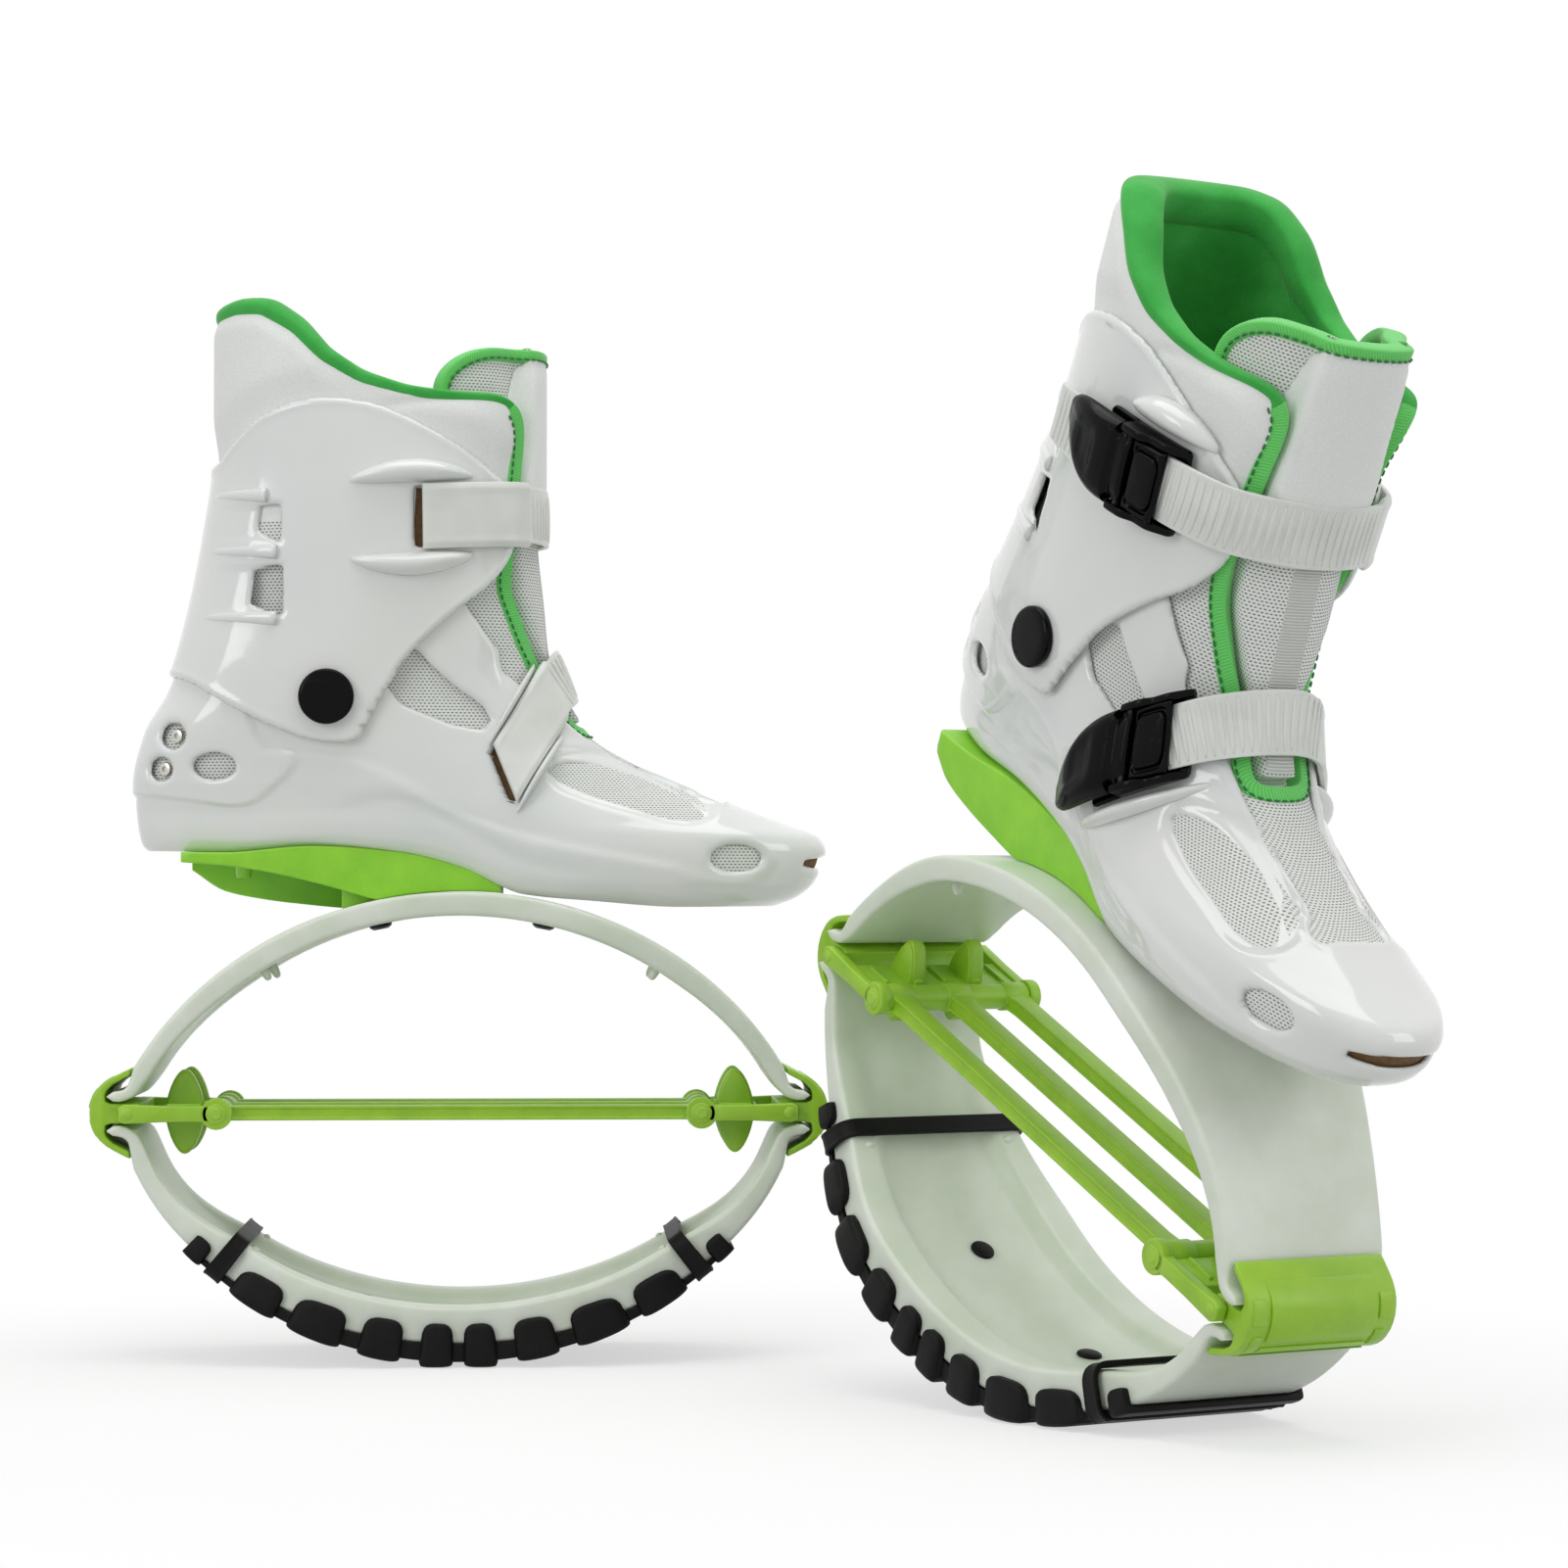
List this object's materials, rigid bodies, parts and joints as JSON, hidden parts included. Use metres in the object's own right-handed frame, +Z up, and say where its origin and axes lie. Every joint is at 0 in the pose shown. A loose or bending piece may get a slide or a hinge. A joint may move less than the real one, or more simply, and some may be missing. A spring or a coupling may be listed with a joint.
{
  "type": "jumping shoes",
  "caption": "Pair of rebound jumping shoes: white hard-shell ankle boots with padded liners and buckled straps on oval leaf springs with knobbed rubber treads.",
  "frame": {"origin": "on the ground under the middle of the pair's box", "axes": "+X towards the left shoe's toe, +Y towards the left shoe's lateral side, +Z up"},
  "size_m": [0.5432, 0.4686, 0.4938],
  "materials": {
    "bow_nylon": "satin translucent nylon",
    "lime_nylon": "satin moulded nylon",
    "tread_rubber": "matt moulded rubber",
    "shell_plastic": "glossy moulded polyurethane",
    "strap_plastic": "satin moulded strap",
    "buckle_plastic": "glossy black nylon",
    "liner_fabric": "coated fabric over foam, spacer mesh panels",
    "lining_green": "velour",
    "steel": "plain steel"
  },
  "bodies": {
    "left_upper": {"left_boot_shell": "shell_plastic", "left_footbed": "lining_green", "left_front_sole_bolt": "buckle_plastic", "left_lateral_pivot_rivet": "buckle_plastic", "left_liner": "liner_fabric", "left_lower_buckle_base": "buckle_plastic", "left_lower_buckle_pin": "steel", "left_medial_pivot_rivet": "buckle_plastic", "left_rear_sole_bolt": "buckle_plastic", "left_saddle": "lime_nylon", "left_tongue": "liner_fabric", "left_upper_bow": "bow_nylon"},
    "left_cuff": {"left_cuff": "shell_plastic", "left_upper_buckle_base": "buckle_plastic", "left_upper_buckle_pin": "steel"},
    "left_lower": {"left_front_band": "tread_rubber", "left_lower_bow": "bow_nylon", "left_rear_band": "tread_rubber", "left_tread": "tread_rubber"},
    "left_link": {"left_front_end_plate": "lime_nylon", "left_front_hinge": "lime_nylon", "left_rear_end_plate": "lime_nylon", "left_rear_hinge": "lime_nylon", "left_tension_spring": "lime_nylon"},
    "left_lower_lever": {"left_lower_buckle_lever": "buckle_plastic"},
    "left_lower_pawl": {"left_lower_buckle_pawl": "buckle_plastic"},
    "left_lower_strap": {"left_lower_strap": "strap_plastic"},
    "left_upper_lever": {"left_upper_buckle_lever": "buckle_plastic"},
    "left_upper_pawl": {"left_upper_buckle_pawl": "buckle_plastic"},
    "left_upper_strap": {"left_upper_strap": "strap_plastic"},
    "right_upper": {"right_boot_shell": "shell_plastic", "right_footbed": "lining_green", "right_front_sole_bolt": "buckle_plastic", "right_lateral_pivot_rivet": "buckle_plastic", "right_liner": "liner_fabric", "right_lower_buckle_base": "buckle_plastic", "right_lower_buckle_pin": "steel", "right_medial_pivot_rivet": "buckle_plastic", "right_rear_sole_bolt": "buckle_plastic", "right_saddle": "lime_nylon", "right_tongue": "liner_fabric", "right_upper_bow": "bow_nylon"},
    "right_cuff": {"right_cuff": "shell_plastic", "right_upper_buckle_base": "buckle_plastic", "right_upper_buckle_pin": "steel"},
    "right_lower": {"right_front_band": "tread_rubber", "right_lower_bow": "bow_nylon", "right_rear_band": "tread_rubber", "right_tread": "tread_rubber"},
    "right_link": {"right_front_end_plate": "lime_nylon", "right_front_hinge": "lime_nylon", "right_rear_end_plate": "lime_nylon", "right_rear_hinge": "lime_nylon", "right_tension_spring": "lime_nylon"},
    "right_lower_lever": {"right_lower_buckle_lever": "buckle_plastic"},
    "right_lower_pawl": {"right_lower_buckle_pawl": "buckle_plastic"},
    "right_lower_strap": {"right_lower_strap": "strap_plastic"},
    "right_upper_lever": {"right_upper_buckle_lever": "buckle_plastic"},
    "right_upper_pawl": {"right_upper_buckle_pawl": "buckle_plastic"},
    "right_upper_strap": {"right_upper_strap": "strap_plastic"}
  },
  "joints": [
    {"name": "left_bounce", "type": "slide", "parent": "left_lower", "child": "left_upper", "axis": [0, 0, -1], "range_m": [0, 0.036], "stiffness_N_per_m": 28000, "deforming": ["left_upper_bow"]},
    {"name": "left_spring_link", "type": "slide", "parent": "left_lower", "child": "left_link", "axis": [0, 0, -1], "range_m": [0, 0.018], "deforming": ["left_upper_bow", "left_lower_bow", "left_tread", "left_rear_band", "left_front_band"]},
    {"name": "left_cuff_lean", "type": "hinge", "parent": "left_upper", "child": "left_cuff", "pos_m": [-0.1656, 0.169, 0.3], "axis": [0, 1, 0], "range_deg": [-4, 10], "stiffness_Nm_per_rad": 9, "deforming": ["left_liner", "left_tongue"]},
    {"name": "left_upper_strap_pull", "type": "slide", "parent": "left_cuff", "child": "left_upper_strap", "axis": [-0.9635, 0.2628, 0.0505], "range_m": [-0.012, 0.008], "deforming": ["left_upper_strap"]},
    {"name": "left_lower_strap_pull", "type": "slide", "parent": "left_upper", "child": "left_lower_strap", "axis": [-0.6912, 0.4453, -0.5692], "range_m": [-0.012, 0.008], "deforming": ["left_lower_strap"]},
    {"name": "left_upper_lever_lift", "type": "hinge", "parent": "left_cuff", "child": "left_upper_lever", "pos_m": [-0.12531, 0.22696, 0.3869], "axis": [0.0214, -0.0363, -0.9991], "range_deg": [0, 60]},
    {"name": "left_lower_lever_lift", "type": "hinge", "parent": "left_upper", "child": "left_lower_lever", "pos_m": [-0.08936, 0.21713, 0.28568], "axis": [0.3793, 0.1451, -0.9138], "range_deg": [0, 60]},
    {"name": "left_upper_pawl_lift", "type": "hinge", "parent": "left_cuff", "child": "left_upper_pawl", "pos_m": [-0.12531, 0.22696, 0.3869], "axis": [-0.0214, 0.0363, 0.9991], "range_deg": [0, 8], "stiffness_Nm_per_rad": 0.08},
    {"name": "left_lower_pawl_lift", "type": "hinge", "parent": "left_upper", "child": "left_lower_pawl", "pos_m": [-0.08936, 0.21713, 0.28568], "axis": [-0.3793, -0.1451, 0.9138], "range_deg": [0, 8], "stiffness_Nm_per_rad": 0.08},
    {"name": "right_shoe_rock", "type": "hinge", "parent": "left_lower", "child": "right_lower", "pos_m": [0.1701, -0.0782, 0.177], "axis": [0.8738, 0.4863, 0], "range_deg": [-26, 0]},
    {"name": "right_bounce", "type": "slide", "parent": "right_lower", "child": "right_upper", "axis": [-0.2132, 0.383, -0.8988], "range_m": [0, 0.036], "stiffness_N_per_m": 28000, "deforming": ["right_upper_bow"]},
    {"name": "right_spring_link", "type": "slide", "parent": "right_lower", "child": "right_link", "axis": [-0.2132, 0.383, -0.8988], "range_m": [0, 0.018], "deforming": ["right_upper_bow", "right_lower_bow", "right_tread", "right_rear_band", "right_front_band"]},
    {"name": "right_cuff_lean", "type": "hinge", "parent": "right_upper", "child": "right_cuff", "pos_m": [0.1701, -0.07819, 0.31386], "axis": [0.8738, 0.4863, 0], "range_deg": [-4, 10], "stiffness_Nm_per_rad": 9, "deforming": ["right_liner", "right_tongue"]},
    {"name": "right_upper_strap_pull", "type": "slide", "parent": "right_cuff", "child": "right_upper_strap", "axis": [-0.6401, 0.6095, 0.4678], "range_m": [-0.012, 0.008], "deforming": ["right_upper_strap"]},
    {"name": "right_lower_strap_pull", "type": "slide", "parent": "right_upper", "child": "right_lower_strap", "axis": [-0.8126, 0.5443, -0.2086], "range_m": [-0.012, 0.008], "deforming": ["right_lower_strap"]},
    {"name": "right_upper_lever_lift", "type": "hinge", "parent": "right_cuff", "child": "right_upper_lever", "pos_m": [0.15559, -0.17131, 0.3743], "axis": [0.1719, -0.3835, 0.9074], "range_deg": [0, 60]},
    {"name": "right_lower_lever_lift", "type": "hinge", "parent": "right_upper", "child": "right_lower_lever", "pos_m": [0.15831, -0.15599, 0.26756], "axis": [0.1558, 0.0184, 0.9876], "range_deg": [0, 60]},
    {"name": "right_upper_pawl_lift", "type": "hinge", "parent": "right_cuff", "child": "right_upper_pawl", "pos_m": [0.15559, -0.17131, 0.3743], "axis": [-0.1719, 0.3835, -0.9074], "range_deg": [0, 8], "stiffness_Nm_per_rad": 0.08},
    {"name": "right_lower_pawl_lift", "type": "hinge", "parent": "right_upper", "child": "right_lower_pawl", "pos_m": [0.15831, -0.15599, 0.26756], "axis": [-0.1558, -0.0184, -0.9876], "range_deg": [0, 8], "stiffness_Nm_per_rad": 0.08}
  ],
  "couplings": [
    {"joint": "left_spring_link", "follows": "left_bounce", "ratio": 0.5},
    {"joint": "right_spring_link", "follows": "right_bounce", "ratio": 0.5}
  ]
}
